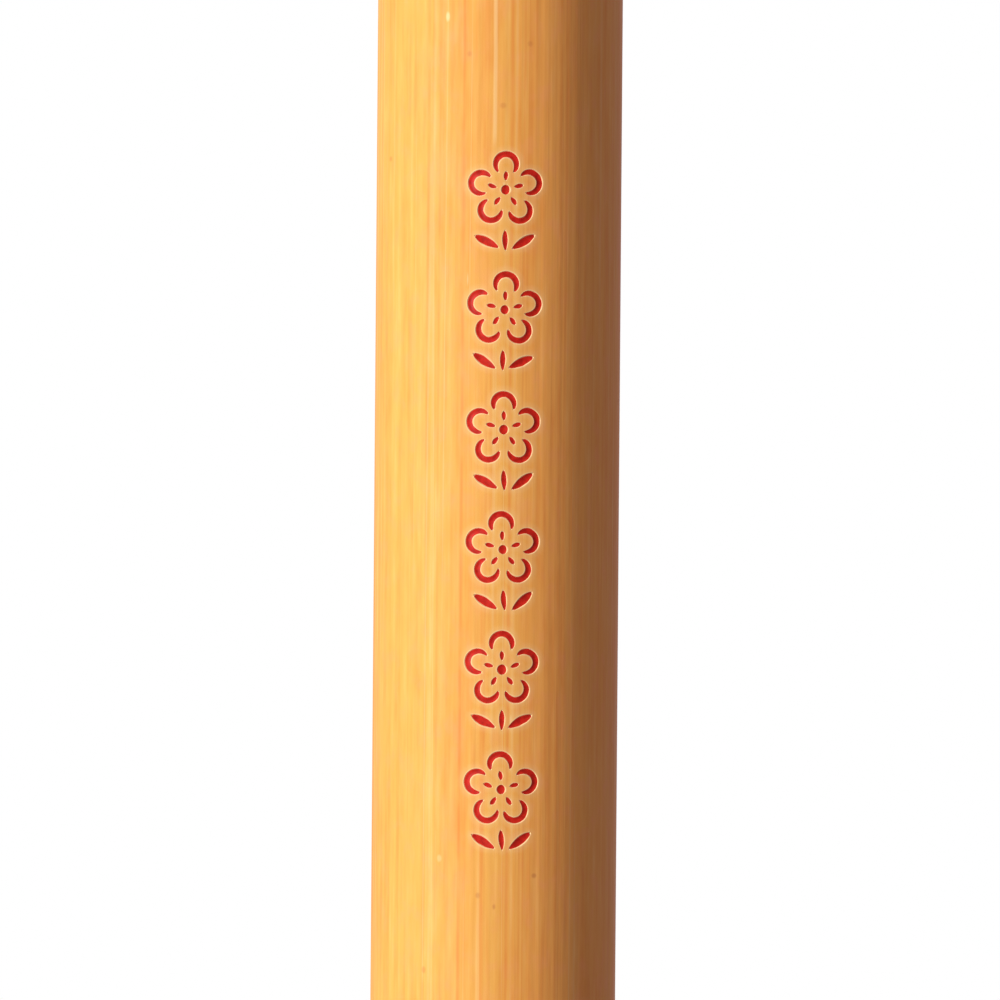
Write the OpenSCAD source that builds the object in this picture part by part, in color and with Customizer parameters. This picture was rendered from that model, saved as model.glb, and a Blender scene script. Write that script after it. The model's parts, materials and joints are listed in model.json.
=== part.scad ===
// Calligraphy brush with a bamboo handle, hanging tip down from its tail.
// +Z runs up the handle. The origin is the mouth of the cord hole in the tail cap.
// The front, where the handle is carved, faces -Y. Sizes are in millimetres.

/* [Handle] */
// Outer diameter of the bamboo
handle_d = 11; // [10:0.5:13]
// Length of bamboo between the two bone rings
handle_len = 186; // [120:1:230]
// Diameter of the natural hollow down the bamboo
hollow_d = 5.2; // [4.4:0.1:6]
// Thickness of each bone ring
ring_t = 1.6; // [1:0.1:3]

/* [Tail cap] */
// Height of the cap above its ring
cap_h = 11; // [8:0.5:16]
// Length of the spigot glued into the bamboo
spigot_len = 8; // [4:0.5:14]
// Diameter of the hole for a hanging cord
cord_hole_d = 2.2; // [1.4:0.1:2.8]

/* [Ferrule] */
// Length of the horn ferrule
ferrule_len = 18; // [15:0.5:26]
// Outer diameter at its mouth, before the lip is rounded
ferrule_mouth_d = 13.2; // [12.6:0.1:16]
// Length of the bamboo tenon, ring included
tenon_len = 7; // [5:0.5:8]
// Wall left around the tenon and the hair socket
ferrule_wall = 0.95; // [0.8:0.05:1.2]

/* [Tuft] */
// Length of hair outside the ferrule
tuft_len = 46; // [38:1:60]
// Largest diameter of the tuft
tuft_d = 10; // [9.6:0.1:10.4]
// How blunt the tuft is: higher keeps it full for longer
tuft_fullness = 2.1; // [1.6:0.1:3]
// Distance from the ferrule to where the tuft bends
bend_at = 14; // [12:0.5:18]

/* [Carving] */
// Number of blossoms
blossom_count = 6; // [1:1:6]
// Distance between blossoms
blossom_pitch = 5.2; // [4.8:0.05:8]
// Height of the carving's middle below the tail
carving_drop = 85; // [60:1:130]
// Turn of the carving away from the front
carving_turn = 3; // [-20:1:20]
// Depth of the cuts
cut_depth = 0.3; // [0.2:0.05:0.6]
// Thickness of the lacquer on the floor of the cuts
lacquer_t = 0.12; // [0.05:0.01:0.15]

/* [Hidden] */
$fn = 96;

bamboo_colour = [0.93, 0.70, 0.38];
lacquer_colour = [0.74, 0.09, 0.07];
horn_colour = [0.09, 0.07, 0.06];
bone_colour = [0.91, 0.87, 0.76];
resin_colour = [0.45, 0.26, 0.10];
sear_colour = [0.10, 0.06, 0.04];
thread_colour = [0.80, 0.72, 0.55];
hair_colour = [0.45, 0.25, 0.11];

glue_gap = 0.05;    // radial room for glue where one piece sits in another
tenon_room = 0.3;   // room for glue under the end of the tenon
web_t = 1.2;        // horn left between the tenon and the hair socket
eps = 0.01;         // how far a cutter runs past the face it cuts
curve_steps = 28;   // straight steps in a turned outline

// Radii
handle_r = handle_d / 2;
hollow_r = hollow_d / 2;
cap_r = handle_r - 0.3;                  // the tail is turned slimmer than the bamboo
tail_ring_r = handle_r - 0.2;
mouth_ring_r = handle_r + 0.25;          // and the ring over the ferrule stands proud
tenon_r = handle_r - ferrule_wall;
socket_r = tenon_r + 0.25;
web_hole_r = hollow_r - 0.6;             // where the turner's drill went through
ferrule_top_r = mouth_ring_r - 0.05;
tuft_r = tuft_d / 2;
free_root_r = tuft_r - 0.1;              // gathered hair just out of the ferrule

// Heights, from the tail down
cap_bottom = -cap_h;
handle_top = cap_bottom - ring_t;
handle_bottom = handle_top - handle_len;
ferrule_top = handle_bottom - ring_t;
tenon_bottom = handle_bottom - tenon_len;
web_top = tenon_bottom - tenon_room;
web_bottom = web_top - web_t;
mouth = ferrule_top - ferrule_len;
tip = mouth - tuft_len;
bend = mouth - bend_at;

// The hair root in its socket
resin_floor = 1.2;                       // resin above the seared disc
sear_t = 0.8;                            // thickness of the seared disc
sear_top = web_bottom - resin_floor;
sear_bottom = sear_top - sear_t;
root_r = socket_r - 0.35;                // the bundle inside the resin
waist_r = root_r - 0.4;                  // where the thread pulls it in
waist_slope = 0.3;                       // height in which the bundle narrows
thread_r = 0.18;
thread_turns = 6;
thread_pitch = 2.1 * thread_r;
waist_top = sear_bottom - 0.6;
waist_bottom = waist_top - thread_turns * thread_pitch;
resin_bottom = mouth + 3.5;              // the resin stops short of the mouth

// The ball on which the tuft bends, and the seat that faces it
ball_r = tuft_r - 0.3;
seat_r = ball_r + 0.3;                   // with room for the ball to turn
seat_rim = bend + 4.2;                   // where the seat opens on the root's flat end

// Layers of hair, one inside another
belly_r = 0.76 * tuft_r;
core_r = 0.48 * tuft_r;
belly_len = 0.80 * tuft_len;
core_len = 0.74 * tuft_len;
life_top = mouth - 0.826 * tuft_len;     // where the coat ends and the point begins
layer_gap = 0.03;

// How far the ferrule's mouth is rounded, inside and out
lip = min(0.7, (ferrule_mouth_d / 2 - socket_r) / 2.2);

// Carved blossom
petal_r = 0.46;                          // to the middle of the cut
petal_width = 0.3;
petal_sweep = 116;                       // each way from the petal's top
petal_reach = 1.08;
stamen = [0.46, 0.22];                   // length, width
stamen_reach = 0.6;
dot_r = 0.21;
stem = [0.95, 0.27];
stem_at = [0, -2.2];
leaf = [1.25, 0.4];
leaf_at = [0.8, -2.25];
leaf_lean = 58;
blossom_middle = -0.45;                  // middle of one blossom's height
lacquer_room = 0.015;                    // between the lacquer and the walls of a cut

// ---- outlines ----

// Radius of a layer of hair at a distance below the ferrule
function layer_r(s, r_max, length) = r_max * (1 - pow(s / length, tuft_fullness));

// Points down a layer's outline, from the ferrule's mouth to its point
function layer_points(r_max, length) = [
    for (i = [0:curve_steps])
        let (s = length * i / curve_steps)
        [max(0, layer_r(s, r_max, length)), mouth - s]
];

// All the space round the tuft below a height
module below(height) {
    under_tip = 1;
    translate([0, 0, tip - under_tip]) cylinder(h = height - tip + under_tip, r = 2 * tuft_r);
}

// A pointed layer of hair from a height down to its point
module layer(top, r_max, length) {
    over_mouth = mouth + 1;
    intersection() {
        rotate_extrude()
            polygon(concat([[0, over_mouth], [r_max, over_mouth]], layer_points(r_max, length)));
        below(top);
    }
}

// Everything below the bend, with the ball on top
module bending_space() {
    translate([0, 0, bend]) sphere(r = ball_r);
    below(bend);
}

// One chisel cut with two pointed ends
module lens(size, inset) {
    r = (size[0] * size[0] + size[1] * size[1]) / (4 * size[1]);
    intersection() {
        translate([r - size[1] / 2, 0]) circle(r = r - inset);
        translate([size[1] / 2 - r, 0]) circle(r = r - inset);
    }
}

// One petal, as a cut of even width round its edge, open towards the blossom's middle
module petal(inset) {
    opening = 180 - petal_sweep;
    side = 2 * petal_r;
    difference() {
        circle(r = petal_r + petal_width / 2 - inset);
        circle(r = petal_r - petal_width / 2 + inset);
        translate([0, inset / sin(opening)])
            polygon([[0, 0], side * [-sin(opening), -cos(opening)], side * [sin(opening), -cos(opening)]]);
    }
}

module blossom(inset) {
    circle(r = dot_r - inset);
    for (k = [0:4]) rotate(72 * k) {
        translate([0, petal_reach]) petal(inset);
        translate([0, stamen_reach]) lens(stamen, inset);
    }
    translate(stem_at) lens(stem, inset);
    for (side = [-1, 1])
        translate([side * leaf_at[0], leaf_at[1]])
            rotate(-side * leaf_lean) lens(leaf, inset);
}

// The carving as prisms through the front of the handle
module carving(inset) {
    column_h = (blossom_count - 1) * blossom_pitch;
    top_blossom = -carving_drop + column_h / 2 - blossom_middle;
    rotate([0, 0, carving_turn])
        for (k = [0:blossom_count - 1])
            translate([0, 0, top_blossom - k * blossom_pitch])
                rotate([90, 0, 0])
                    linear_extrude(height = handle_r + 1) blossom(inset);
}

// A thin shell just under the bamboo's skin
module skin(from_r, to_r) {
    translate([0, 0, handle_bottom])
        difference() {
            cylinder(h = handle_len, r = to_r);
            translate([0, 0, -eps]) cylinder(h = handle_len + 2 * eps, r = from_r);
        }
}

// ---- the handle ----

module bamboo_handle() {
    color(bamboo_colour)
        difference() {
            union() {
                translate([0, 0, handle_bottom]) cylinder(h = handle_len, r = handle_r);
                translate([0, 0, tenon_bottom]) cylinder(h = tenon_len + eps, r = tenon_r);
            }
            translate([0, 0, tenon_bottom - eps])
                cylinder(h = handle_len + tenon_len + 2 * eps, r = hollow_r);
            intersection() {
                carving(0);
                skin(handle_r - cut_depth, handle_r + 1);
            }
        }
}

module carving_lacquer() {
    color(lacquer_colour)
        intersection() {
            carving(lacquer_room);
            skin(handle_r - cut_depth, handle_r - cut_depth + lacquer_t);
        }
}

// A ring that slips over a spigot or a tenon
module bone_ring(top, outer_r, inner_r) {
    edge = 0.25;
    color(bone_colour)
        translate([0, 0, top - ring_t])
            rotate_extrude()
                polygon([
                    [inner_r, 0], [outer_r - edge, 0], [outer_r, edge],
                    [outer_r, ring_t - edge], [outer_r - edge, ring_t], [inner_r, ring_t]
                ]);
}

module tail_ring() {
    bone_ring(cap_bottom, tail_ring_r, hollow_r);
}

module mouth_ring() {
    bone_ring(handle_bottom, mouth_ring_r, tenon_r + glue_gap);
}

// Turned horn cap: a band, a cove and a dome, with a spigot below
module tail_cap() {
    band_h = 1.5;
    cove_r = 0.75;
    dome_from = band_h + 2 * cove_r;
    dome_r = cap_r - 0.15;
    land_r = 1.9;
    dome = [
        for (i = [0:curve_steps])
            let (a = 90 * i / curve_steps)
            [land_r + (dome_r - land_r) * cos(a), cap_bottom + dome_from + (cap_h - dome_from) * sin(a)]
    ];
    color(horn_colour)
        difference() {
            union() {
                difference() {
                    rotate_extrude()
                        polygon(concat(
                            [[0, cap_bottom], [cap_r, cap_bottom], [cap_r, cap_bottom + band_h],
                             [dome_r, cap_bottom + dome_from]],
                            dome,
                            [[0, 0]]
                        ));
                    translate([0, 0, cap_bottom + band_h + cove_r])
                        rotate_extrude() translate([cap_r, 0]) circle(r = cove_r, $fn = 48);
                }
                translate([0, 0, handle_top - spigot_len])
                    cylinder(h = spigot_len + ring_t + eps, r = hollow_r - glue_gap);
            }
            translate([0, 0, handle_top - spigot_len - 1])
                cylinder(h = cap_h + ring_t + spigot_len + 2, d = cord_hole_d);
        }
}

// ---- the ferrule ----

// Radius of the ferrule's outside, from 0 at its top to 1 at its mouth
function ferrule_r(u) =
    ferrule_top_r + (ferrule_mouth_d / 2 - ferrule_top_r) * (1 - cos(180 * u)) / 2;

module ferrule() {
    outside = [
        for (i = [0:curve_steps])
            let (u = i / curve_steps)
            [ferrule_r(u), ferrule_top - (ferrule_len - lip) * u]
    ];
    rounded_lip = [
        for (i = [1:6])
            let (a = 15 * i)
            [ferrule_mouth_d / 2 - lip + lip * cos(a), mouth + lip - lip * sin(a)]
    ];
    color(horn_colour)
        difference() {
            rotate_extrude()
                polygon(concat([[0, ferrule_top]], outside, rounded_lip, [[0, mouth]]));
            translate([0, 0, web_top])
                cylinder(h = ferrule_top - web_top + eps, r = tenon_r + glue_gap);
            translate([0, 0, mouth]) cylinder(h = ferrule_len, r = web_hole_r);
            translate([0, 0, mouth - eps])
                cylinder(h = web_bottom - mouth + eps, r = socket_r);
            translate([0, 0, mouth - eps])
                cylinder(h = lip, r1 = socket_r + lip, r2 = socket_r);
        }
}

// ---- the hair root in the socket ----

module root_resin() {
    color(resin_colour)
        difference() {
            translate([0, 0, resin_bottom])
                cylinder(h = web_bottom - resin_bottom, r = socket_r - glue_gap);
            translate([0, 0, resin_bottom - eps])
                cylinder(h = sear_top - resin_bottom + eps, r = root_r + glue_gap);
        }
}

module seared_root() {
    edge = 0.3;
    color(sear_colour)
        translate([0, 0, sear_bottom])
            rotate_extrude()
                polygon([
                    [0, 0], [root_r, 0], [root_r, sear_t - edge],
                    [root_r - edge, sear_t], [0, sear_t]
                ]);
}

// The turns of thread that bind the root, each a ring of its own
module root_thread() {
    from_waist = 0.02;
    color(thread_colour)
        for (k = [0:thread_turns - 1])
            translate([0, 0, waist_top - thread_r - k * thread_pitch])
                rotate_extrude()
                    translate([waist_r + from_waist + thread_r, 0]) circle(r = thread_r, $fn = 24);
}

// Gathered hair from the seared disc out of the ferrule, as far as the seat of the bend
module hair_root() {
    color(hair_colour)
        difference() {
            rotate_extrude()
                polygon([
                    [0, sear_bottom], [root_r, sear_bottom], [root_r, waist_top + waist_slope],
                    [waist_r, waist_top], [waist_r, waist_bottom],
                    [root_r, waist_bottom - waist_slope], [root_r, mouth + 1],
                    [free_root_r, mouth - 1.4], [free_root_r, seat_rim], [0, seat_rim]
                ]);
            translate([0, 0, bend]) sphere(r = seat_r);
        }
}

// ---- the tuft that bends: layers of hair, one inside another ----

// A layer of hair below the bend, around whatever lies inside it
module bending_layer(r_max, length) {
    intersection() {
        layer(bend + ball_r, r_max, length);
        bending_space();
    }
}

module coat_hairs() {
    color(hair_colour)
        difference() {
            bending_layer(tuft_r, tuft_len);
            layer(bend + tuft_r, belly_r + layer_gap, belly_len + layer_gap);
            below(life_top);
        }
}

module belly_hairs() {
    color(hair_colour)
        difference() {
            bending_layer(belly_r, belly_len);
            layer(bend + tuft_r, core_r + layer_gap, core_len + layer_gap);
        }
}

module core_hairs() {
    color(hair_colour) bending_layer(core_r, core_len);
}

module life_hairs() {
    color(hair_colour)
        intersection() {
            layer(bend, tuft_r, tuft_len);
            below(life_top - layer_gap);
        }
}

bamboo_handle();
carving_lacquer();
tail_cap();
tail_ring();
mouth_ring();
ferrule();
root_resin();
seared_root();
root_thread();
hair_root();
coat_hairs();
belly_hairs();
core_hairs();
life_hairs();
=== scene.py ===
"""Looks of a calligraphy brush that hangs tip down. Lengths are in millimetres until a mesh is made."""
import json
import math

import bpy
import numpy as np
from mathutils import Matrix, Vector
from mathutils.geometry import delaunay_2d_cdt


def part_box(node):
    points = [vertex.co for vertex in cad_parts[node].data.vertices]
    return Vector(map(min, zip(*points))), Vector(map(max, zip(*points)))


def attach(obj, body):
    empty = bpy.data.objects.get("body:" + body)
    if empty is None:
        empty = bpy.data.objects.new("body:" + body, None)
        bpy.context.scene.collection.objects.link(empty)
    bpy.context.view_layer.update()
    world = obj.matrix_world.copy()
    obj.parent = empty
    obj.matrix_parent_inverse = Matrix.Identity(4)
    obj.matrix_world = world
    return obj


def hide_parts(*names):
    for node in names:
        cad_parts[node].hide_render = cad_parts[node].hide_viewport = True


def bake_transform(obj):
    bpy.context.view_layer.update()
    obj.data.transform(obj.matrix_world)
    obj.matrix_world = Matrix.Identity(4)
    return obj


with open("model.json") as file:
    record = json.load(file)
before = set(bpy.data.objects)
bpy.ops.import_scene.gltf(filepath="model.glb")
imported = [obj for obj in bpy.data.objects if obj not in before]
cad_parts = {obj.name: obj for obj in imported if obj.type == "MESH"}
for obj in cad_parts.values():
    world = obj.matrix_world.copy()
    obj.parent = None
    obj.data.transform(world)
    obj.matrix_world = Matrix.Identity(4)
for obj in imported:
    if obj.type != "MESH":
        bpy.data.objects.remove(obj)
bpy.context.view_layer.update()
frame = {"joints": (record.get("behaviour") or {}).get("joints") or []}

MM = 0.001
TAU = 2 * math.pi


def top_of(node):
    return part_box(node)[1][2] / MM


def bottom_of(node):
    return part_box(node)[0][2] / MM


def radius_of(node):
    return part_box(node)[1][0] / MM


# ---- sizes, from the frame ----

HANDLE_R = radius_of("bamboo_handle")
HANDLE_TOP = top_of("bamboo_handle")
TENON_BOTTOM = bottom_of("bamboo_handle")
HANDLE_BOTTOM = top_of("mouth_ring")
FERRULE_TOP = top_of("ferrule")
MOUTH = bottom_of("ferrule")
MOUTH_R = radius_of("ferrule")
CAP_BOTTOM = top_of("tail_ring")
CAP_R = radius_of("tail_cap")
SPIGOT_BOTTOM = bottom_of("tail_cap")
TAIL_RING_R = radius_of("tail_ring")
MOUTH_RING_R = radius_of("mouth_ring")
SOCKET_TOP = top_of("root_resin")
RESIN_BOTTOM = bottom_of("root_resin")
RESIN_R = radius_of("root_resin")
SEAR_TOP = top_of("seared_root")
SEAR_BOTTOM = bottom_of("seared_root")
ROOT_R = radius_of("seared_root")
WAIST_TOP = top_of("root_thread")
WAIST_BOTTOM = bottom_of("root_thread")
THREAD_OUT = radius_of("root_thread")
LIFE_FROM = MOUTH - bottom_of("coat_hairs")
TIP = bottom_of("life_hairs")
TUFT_LEN = MOUTH - TIP
BEND = MOUTH - frame["joints"][0]["pos_m"][2] / MM

# sizes that the boxes don't show, the same as in the CAD
HOLLOW_R = 2.6
TENON_R = 4.55
SOCKET_R = 4.8
CORD_HOLE_R = 1.1
THREAD_R = 0.18
TUFT_R = 5.0
GLUE_GAP = 0.05         # room between a piece and the one it is glued into

# ---- the carving: the same layout as the CAD pockets ----

BLOSSOMS = 6
BLOSSOM_PITCH = 5.2
BLOSSOM_MIDDLE = -0.45
CARVING_DROP = 85
CARVING_TURN = math.radians(3)
PETAL_R, PETAL_REACH = 0.46, 1.08
PETAL_WIDTH, PETAL_SWEEP = 0.30, math.radians(128)
STAMEN, STAMEN_REACH = (0.46, 0.22), 0.60
DOT_R = 0.21
STEM, STEM_AT = (0.95, 0.27), (0, -2.2)
LEAF, LEAF_AT, LEAF_LEAN = (1.25, 0.40), (0.80, -2.25), math.radians(58)
CARVED_REACH = (BLOSSOMS - 1) * BLOSSOM_PITCH / 2 + 2.6     # from the column's middle to past its ends

LIP_AT = 1.0            # share of a cut's half width where its wall starts
SCUFF_TO = 1.38         # share that the scuffed skin beside a cut reaches
WORN, WORN_TO = 0.14, 0.25      # how pale the skin beyond that is worn, and how far out in millimetres
FILL_TO = 0.84          # share of the half width that the lacquer reaches
CUT_STEEPNESS = 1.05    # depth of a cut for each unit of its half width


# ---- meshes ----

def mesh_object(name, points, faces, material, smooth=35):
    """A mesh piece from points in millimetres, with edges sharper than smooth degrees kept sharp."""
    mesh = bpy.data.meshes.new(name)
    mesh.from_pydata(np.asarray(points, float) * MM, [], faces)
    mesh.validate()
    mesh.polygons.foreach_set("use_smooth", [True] * len(mesh.polygons))
    if smooth is not None:
        mesh.set_sharp_from_angle(angle=math.radians(smooth))
    mesh.materials.append(material)
    piece = bpy.data.objects.new(name, mesh)
    bpy.context.scene.collection.objects.link(piece)
    return piece


def set_attribute(piece, name, values):
    """A number for each point, for the piece's material to read."""
    attribute = piece.data.attributes.new(name, "FLOAT", "POINT")
    attribute.data.foreach_set("value", np.asarray(values, np.float32))


def keep_rest_places(piece, points):
    """Stores where each point is at rest, so that a grain read from there follows a piece that bends."""
    attribute = piece.data.attributes.new("rest", "FLOAT_VECTOR", "POINT")
    attribute.data.foreach_set("vector", (np.asarray(points, np.float32) * MM).ravel())


def grid_faces(rows, columns, first=0, wrap_rows=False, wrap_columns=True):
    """Quads between rows of points. Each row is a closed ring unless wrap_columns is false."""
    r = np.arange(rows if wrap_rows else rows - 1)[:, None]
    c = np.arange(columns if wrap_columns else columns - 1)[None, :]
    up, right = (r + 1) % rows, (c + 1) % columns
    quads = [r * columns + c, r * columns + right, up * columns + right, up * columns + c]
    return (np.stack(quads, axis=-1).reshape(-1, 4) + first).tolist()


def placed(radius, turn, height):
    """Points at a distance from the axis, an angle round from the front, and a height."""
    radius, turn, height = np.broadcast_arrays(radius, turn, height)
    return np.stack([radius * np.sin(turn), -radius * np.cos(turn), height], axis=-1)


def even_turns(columns):
    return TAU * np.arange(columns) / columns


def rounded(corners, steps=5):
    """An outline from (radius, height, rounding) corners, each rounded by a quadratic curve."""
    outline = []
    for i, (x, y, rounding) in enumerate(corners):
        here = np.array([x, y])
        if rounding == 0:
            outline.append(here)
            continue
        before = np.array(corners[i - 1][:2]) - here
        after = np.array(corners[(i + 1) % len(corners)][:2]) - here
        a = here + before / np.linalg.norm(before) * rounding
        b = here + after / np.linalg.norm(after) * rounding
        for t in np.linspace(0, 1, steps):
            outline.append((1 - t) ** 2 * a + 2 * t * (1 - t) * here + t * t * b)
    return outline


def lathe(name, outline, material, columns=128, wobble=None, smooth=35):
    """A closed turned piece from a closed outline of (radius, height), taken either way round."""
    outline = np.array(outline)
    after = np.roll(outline, -1, axis=0)
    if np.sum(outline[:, 0] * after[:, 1] - after[:, 0] * outline[:, 1]) < 0:
        outline = outline[::-1]
    turn = even_turns(columns)
    radius, height = outline[:, :1], outline[:, 1:]
    if wobble:
        radius, height = wobble(radius, height, turn)
    points = placed(radius, turn, height).reshape(-1, 3)
    return mesh_object(name, points, grid_faces(len(outline), columns, wrap_rows=True), material, smooth)


def ripples(seed, low, high, count, drift):
    """A smooth random height over (turn, distance), seamless round the axis, about -1 to 1."""
    rng = np.random.RandomState(seed)
    waves = rng.randint(low, high + 1, count)
    phase = rng.uniform(0, TAU, count)
    slide = rng.normal(0, drift, count)

    def height(turn, distance):
        total = 0
        for k, p, d in zip(waves, phase, slide):
            total = total + np.cos(k * turn + p + d * distance)
        return total / math.sqrt(2 * count)

    return height


# ---- materials ----

class Shader:
    """A material's node tree, with short calls for the nodes it needs."""

    def __init__(self, name):
        self.material = bpy.data.materials.new(name)
        self.material.use_nodes = True
        self.tree = self.material.node_tree
        self.surface = self.tree.nodes["Principled BSDF"]
        self.position = self.add("ShaderNodeTexCoord").outputs["Object"]

    def add(self, kind, inputs=None, **settings):
        """A new node, with its settings made and its inputs filled or linked."""
        made = self.tree.nodes.new(kind)
        for key, value in settings.items():
            setattr(made, key, value)
        for key, value in (inputs or {}).items():
            self.put(made.inputs[key], value)
        return made

    def put(self, socket, value):
        """Links value to a socket if it is another socket, or sets it."""
        if isinstance(value, bpy.types.NodeSocket):
            self.tree.links.new(value, socket)
        else:
            socket.default_value = value

    def base(self, **inputs):
        """Sets the surface's inputs, such as roughness, by name."""
        for key, value in inputs.items():
            self.put(self.surface.inputs[key.replace("_", " ")], value)

    def show(self, shader):
        """Shows another shader node in place of the usual surface."""
        self.tree.nodes.remove(self.surface)
        self.put(self.tree.nodes["Material Output"].inputs["Surface"], shader.outputs[0])

    def scaled(self, across, along, shift=(0, 0, 0)):
        """The position in its own units: across and along are features for each millimetre."""
        scale = (across / MM, across / MM, along / MM)
        made = self.add("ShaderNodeMapping", {"Vector": self.position, "Scale": scale, "Location": shift})
        return made.outputs["Vector"]

    def noise(self, across, along, shift=(0, 0, 0), detail=2.0, roughness=0.5, distortion=0.0):
        return self.add("ShaderNodeTexNoise", {
            "Vector": self.scaled(across, along, shift), "Scale": 1,
            "Detail": detail, "Roughness": roughness, "Distortion": distortion,
        }).outputs["Fac"]

    def math(self, operation, a, b=0.0):
        return self.add("ShaderNodeMath", {0: a, 1: b}, operation=operation).outputs[0]

    def times(self, a, b):
        return self.math("MULTIPLY", a, b)

    def plus(self, a, b):
        return self.math("ADD", a, b)

    def fade(self, value, low, high, to_low=0.0, to_high=1.0):
        """Value from low..high to to_low..to_high, smoothly and clamped."""
        return self.add("ShaderNodeMapRange", {
            "Value": value, "From Min": low, "From Max": high, "To Min": to_low, "To Max": to_high,
        }, interpolation_type="SMOOTHSTEP").outputs["Result"]

    def ramp(self, value, stops):
        """A colour from (place, (r, g, b)) stops."""
        made = self.add("ShaderNodeValToRGB", {"Fac": value})
        elements = made.color_ramp.elements
        while len(elements) < len(stops):
            elements.new(0.5)
        for element, (place, colour) in zip(elements, stops):
            element.position = place
            element.color = (*colour, 1)
        return made.outputs["Color"]

    def mix(self, share, a, b, blend="MIX"):
        """Colour a turned into b by share."""
        a, b = (c if isinstance(c, bpy.types.NodeSocket) else (*c, 1) for c in (a, b))
        # its sockets 6 and 7, and its third output, are the ones for colours
        made = self.add("ShaderNodeMix", {0: share, 6: a, 7: b}, data_type="RGBA", blend_type=blend)
        return made.outputs[2]

    def attribute(self, name):
        return self.add("ShaderNodeAttribute", attribute_name=name).outputs["Fac"]

    def bump(self, height, distance, strength=1.0):
        """Fine relief of a depth in millimetres."""
        made = self.add("ShaderNodeBump", {
            "Strength": strength, "Distance": distance * MM, "Height": height,
        })
        self.base(Normal=made.outputs["Normal"])


class Skin(Shader):
    """The bamboo's skin, with calls for the marks on it. An across is a distance right of the front."""

    def __init__(self, name):
        super().__init__(name)
        split = self.add("ShaderNodeSeparateXYZ", {0: self.position})
        self.right = split.outputs[0]
        self.height = self.math("DIVIDE", split.outputs[2], MM)
        turn = self.math("ARCTAN2", self.right, self.times(split.outputs[1], -1.0))
        sway = self.times(self.math("SUBTRACT", self.noise(0.0, 0.25, detail=1), 0.5), 0.06)
        # distance round the skin to the right of the front, which sways a little with height
        self.round_skin = self.plus(self.times(turn, HANDLE_R), sway)

    def from_line(self, across):
        """Distance round the skin from a line that runs up the handle."""
        arc = math.asin(across / HANDLE_R) * HANDLE_R
        return self.math("ABSOLUTE", self.math("SUBTRACT", self.round_skin, arc))

    def fibre_line(self, across, half, strength, seed):
        """One fibre that stands out, stronger and weaker along its length."""
        broken = self.fade(self.noise(0.0, 0.30, (seed, seed, 3), detail=2), 0.36, 0.58, 0.25, 1.0)
        return self.times(self.fade(self.from_line(across), 0.0, half, strength, 0.0), broken)

    def lines(self, across, along, shift, width, strength):
        """Thin lines that run with the grain, where a stretched noise crosses its middle."""
        noise = self.noise(across, along, shift, detail=1)
        crossing = self.math("ABSOLUTE", self.math("SUBTRACT", noise, 0.5))
        broken = self.fade(self.noise(across * 0.6, along * 9, shift, detail=1), 0.42, 0.60)
        drawn = self.times(self.fade(crossing, 0.0, width, 1.0, 0.0), broken)
        return self.times(drawn, strength)

    def spot(self, across, height, wide, tall, strength):
        """One soft mark, wide by tall from its middle."""
        u = self.math("DIVIDE", self.from_line(across), wide)
        v = self.math("DIVIDE", self.math("SUBTRACT", self.height, height), tall)
        away = self.math("SQRT", self.plus(self.times(u, u), self.times(v, v)))
        return self.fade(away, 0.3, 1.0, strength, 0.0)

    def scatter(self, across, along, share, size, shift, strength):
        """Small marks, one in the middle of a share of the cells."""
        found = self.add("ShaderNodeTexVoronoi", {"Vector": self.scaled(across, along, shift), "Scale": 1})
        parts = self.add("ShaderNodeSeparateColor", {"Color": found.outputs["Color"]})
        chosen = self.math("LESS_THAN", parts.outputs[0], share)
        near = self.fade(found.outputs["Distance"], size * 0.35, size, 1.0, 0.0)
        return self.times(self.times(chosen, near), strength)

    def strongest(self, mark, *others):
        for other in others:
            mark = self.math("MAXIMUM", mark, other)
        return mark


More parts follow.
